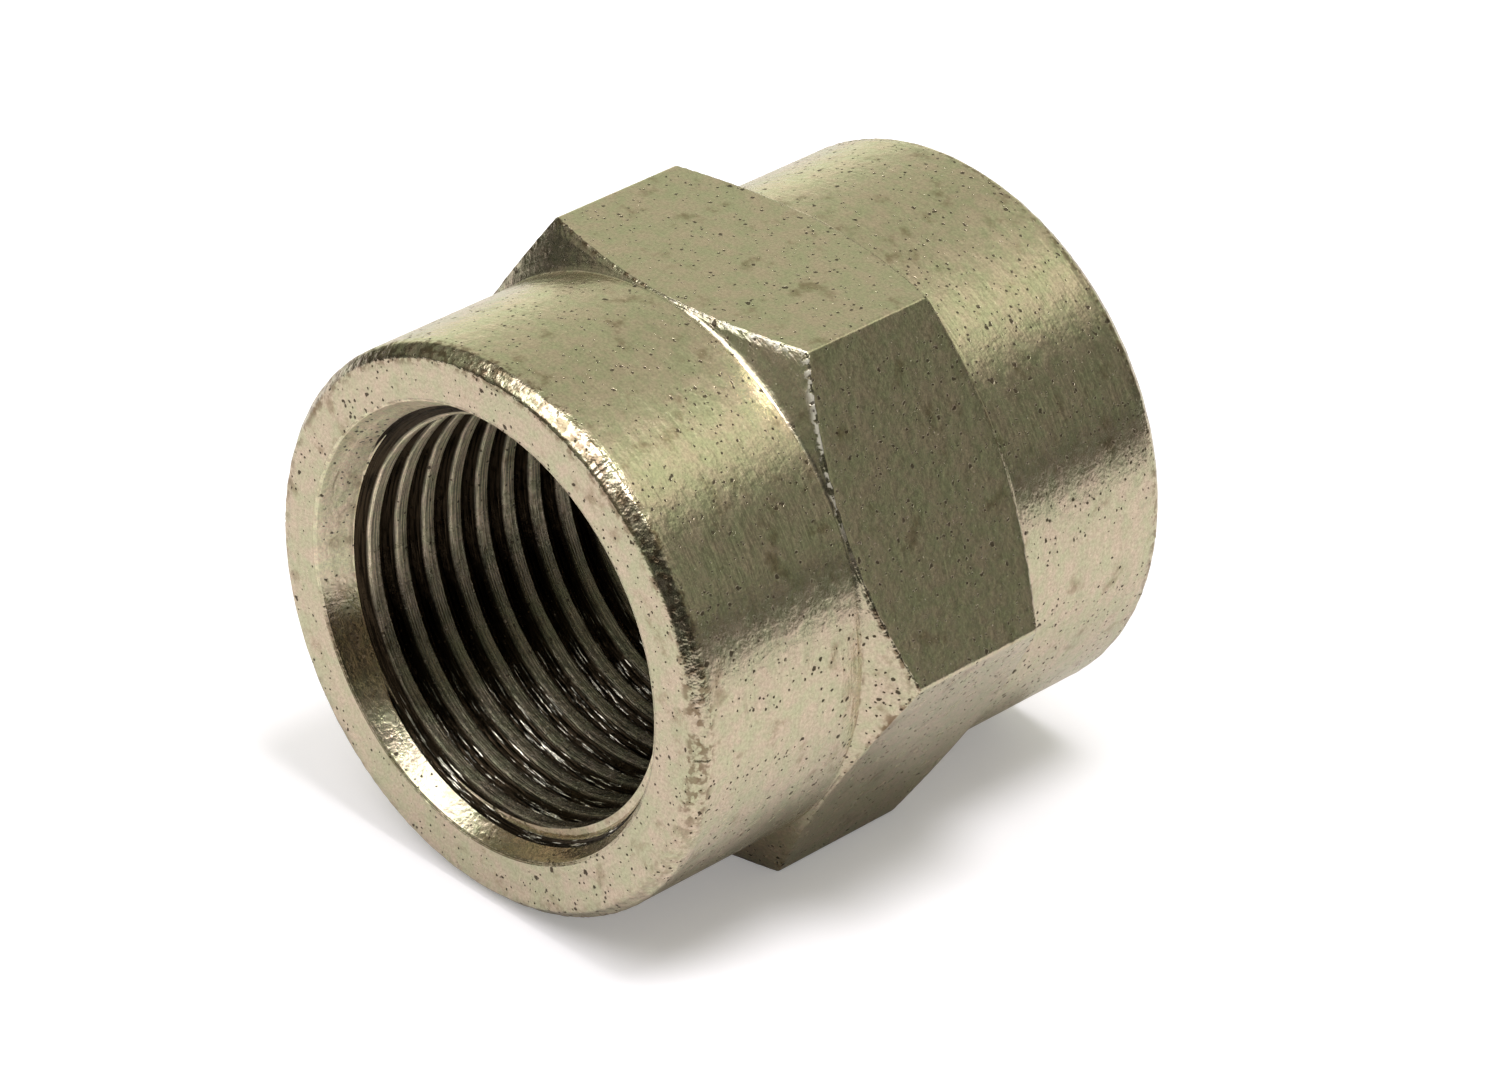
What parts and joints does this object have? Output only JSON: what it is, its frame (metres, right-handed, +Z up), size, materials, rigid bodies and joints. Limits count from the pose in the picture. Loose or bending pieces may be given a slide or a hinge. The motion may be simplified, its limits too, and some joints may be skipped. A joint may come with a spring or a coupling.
{
  "type": "pipe coupling",
  "caption": "Short round sleeve with a hexagonal wrench collar at mid-length and a right-hand internal pipe thread running right through it.",
  "frame": {"origin": "on the bore axis, midway between the two end faces", "axes": "+Y along the bore from the front end to the rear end, +Z up out of the top hexagon flat with the part lying on the opposite flat, +X to the right seen from the front end, through two hexagon corners"},
  "size_m": [0.0254, 0.024, 0.022],
  "materials": {
    "nickel_plated_brass": "satin nickel plate over turned brass, warm olive grey, worn bright on its edges, with fine dark pits"
  },
  "bodies": {
    "root": {"coupling_body": "nickel_plated_brass"}
  },
  "joints": []
}
